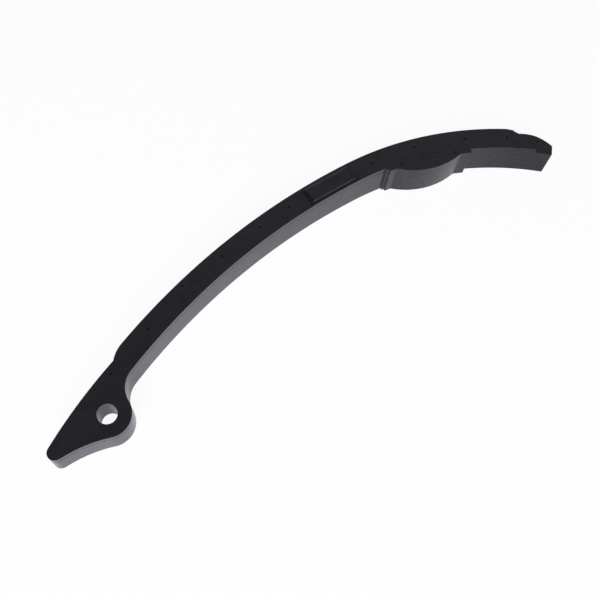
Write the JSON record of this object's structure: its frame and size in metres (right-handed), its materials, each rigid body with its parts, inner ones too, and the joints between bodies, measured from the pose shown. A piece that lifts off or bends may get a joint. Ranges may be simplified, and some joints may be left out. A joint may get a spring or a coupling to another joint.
{
  "type": "timing chain guide",
  "caption": "Curved moulded blade with a pivot bore at one end, a smooth convex edge that a timing chain runs along and a rounded pad on its inner edge for the tensioner.",
  "frame": {"origin": "middle of the pivot bore's lower mouth", "axes": "+X from the bore towards the far end, +Y towards the chain face, +Z along the bore, away from the side it lies on"},
  "size_m": [0.2079, 0.0431, 0.014],
  "materials": {
    "black_plastic": "satin, as moulded"
  },
  "bodies": {
    "root": {"chain_guide": "black_plastic"}
  },
  "joints": []
}
